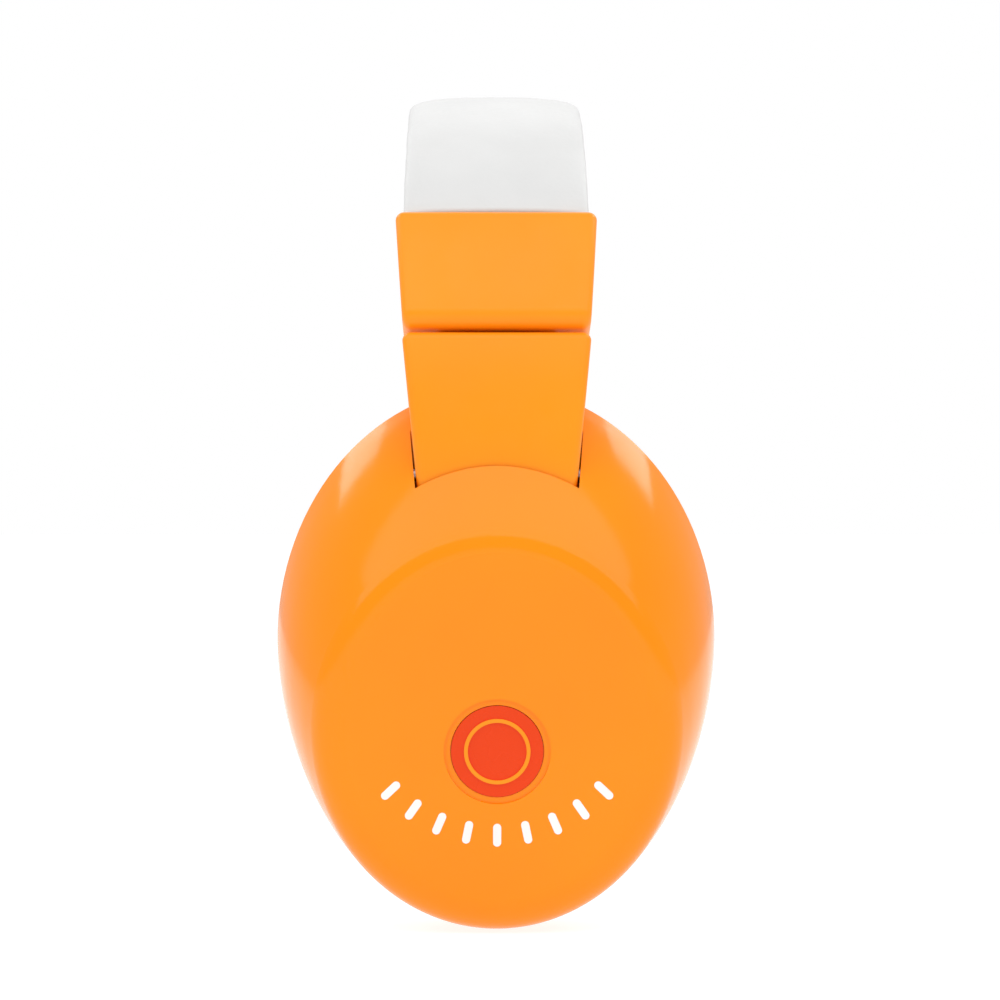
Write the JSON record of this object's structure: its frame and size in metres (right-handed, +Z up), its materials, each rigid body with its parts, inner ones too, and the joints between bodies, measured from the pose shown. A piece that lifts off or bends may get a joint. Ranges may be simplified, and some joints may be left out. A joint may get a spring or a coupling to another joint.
{
  "type": "earmuff hearing protector",
  "caption": "Child-size over-head earmuff hearing protector with egg-shaped glossy cups, padded arch band and sliding, inward-folding arms.",
  "frame": {"origin": "midway between the two ear cushions, at the height of the cushions' centres, where the wearer's ears line up", "axes": "+X from the right cup to the left cup, +Y from front to back, +Z up to the crown"},
  "size_m": [0.1692, 0.083, 0.1611],
  "materials": {
    "orange_gloss": "gloss",
    "orange_satin": "satin",
    "orange_strap": "satin",
    "badge_orange": "gloss",
    "white_plastic": "satin",
    "white_leather": "soft satin",
    "foam": "open-cell foam",
    "liner_cloth": "knitted cloth",
    "screw_steel": "plain",
    "spring_steel": "plain"
  },
  "bodies": {
    "headband": {"headband_core": "white_plastic", "headband_cover": "white_leather", "headband_foam": "foam", "crown_pad": "white_leather", "left_cap_outer": "orange_satin", "left_cap_inner": "orange_satin", "left_cap_screws": "screw_steel", "left_detent_spring": "spring_steel", "right_cap_outer": "orange_satin", "right_cap_inner": "orange_satin", "right_cap_screws": "screw_steel", "right_detent_spring": "spring_steel"},
    "left_slider": {"left_slider_strap": "orange_strap"},
    "left_arm": {"left_arm_outer": "orange_satin", "left_arm_inner": "orange_satin", "left_arm_screws": "screw_steel", "left_fold_pin": "screw_steel"},
    "left_cup": {"left_cup_shell": "orange_gloss", "left_badge": "badge_orange", "left_sound_foam": "foam", "left_back_plate": "white_plastic", "left_plate_screws": "screw_steel", "left_ear_liner": "liner_cloth", "left_cushion_ring": "white_plastic", "left_ear_cushion": "white_leather", "left_tilt_pin": "screw_steel"},
    "right_slider": {"right_slider_strap": "orange_strap"},
    "right_arm": {"right_arm_outer": "orange_satin", "right_arm_inner": "orange_satin", "right_arm_screws": "screw_steel", "right_fold_pin": "screw_steel"},
    "right_cup": {"right_cup_shell": "orange_gloss", "right_badge": "badge_orange", "right_sound_foam": "foam", "right_back_plate": "white_plastic", "right_plate_screws": "screw_steel", "right_ear_liner": "liner_cloth", "right_cushion_ring": "white_plastic", "right_ear_cushion": "white_leather", "right_tilt_pin": "screw_steel"}
  },
  "joints": [
    {"name": "left_size", "type": "hinge", "parent": "headband", "child": "left_slider", "pos_m": [0, 0, 0.032], "axis": [0, 1, 0], "range_deg": [0, 14]},
    {"name": "left_fold", "type": "hinge", "parent": "left_slider", "child": "left_arm", "pos_m": [0.06803, 0, 0.05087], "axis": [0, 1, 0], "range_deg": [0, 40]},
    {"name": "left_tilt", "type": "hinge", "parent": "left_arm", "child": "left_cup", "pos_m": [0.06958, 0, 0.03018], "axis": [0, 1, 0], "range_deg": [-3.5, 3.5]},
    {"name": "right_size", "type": "hinge", "parent": "headband", "child": "right_slider", "pos_m": [0, 0, 0.032], "axis": [0, 1, 0], "range_deg": [-14, 0]},
    {"name": "right_fold", "type": "hinge", "parent": "right_slider", "child": "right_arm", "pos_m": [-0.06803, 0, 0.05087], "axis": [0, 1, 0], "range_deg": [-40, 0]},
    {"name": "right_tilt", "type": "hinge", "parent": "right_arm", "child": "right_cup", "pos_m": [-0.06958, 0, 0.03018], "axis": [0, 1, 0], "range_deg": [-3.5, 3.5]}
  ]
}
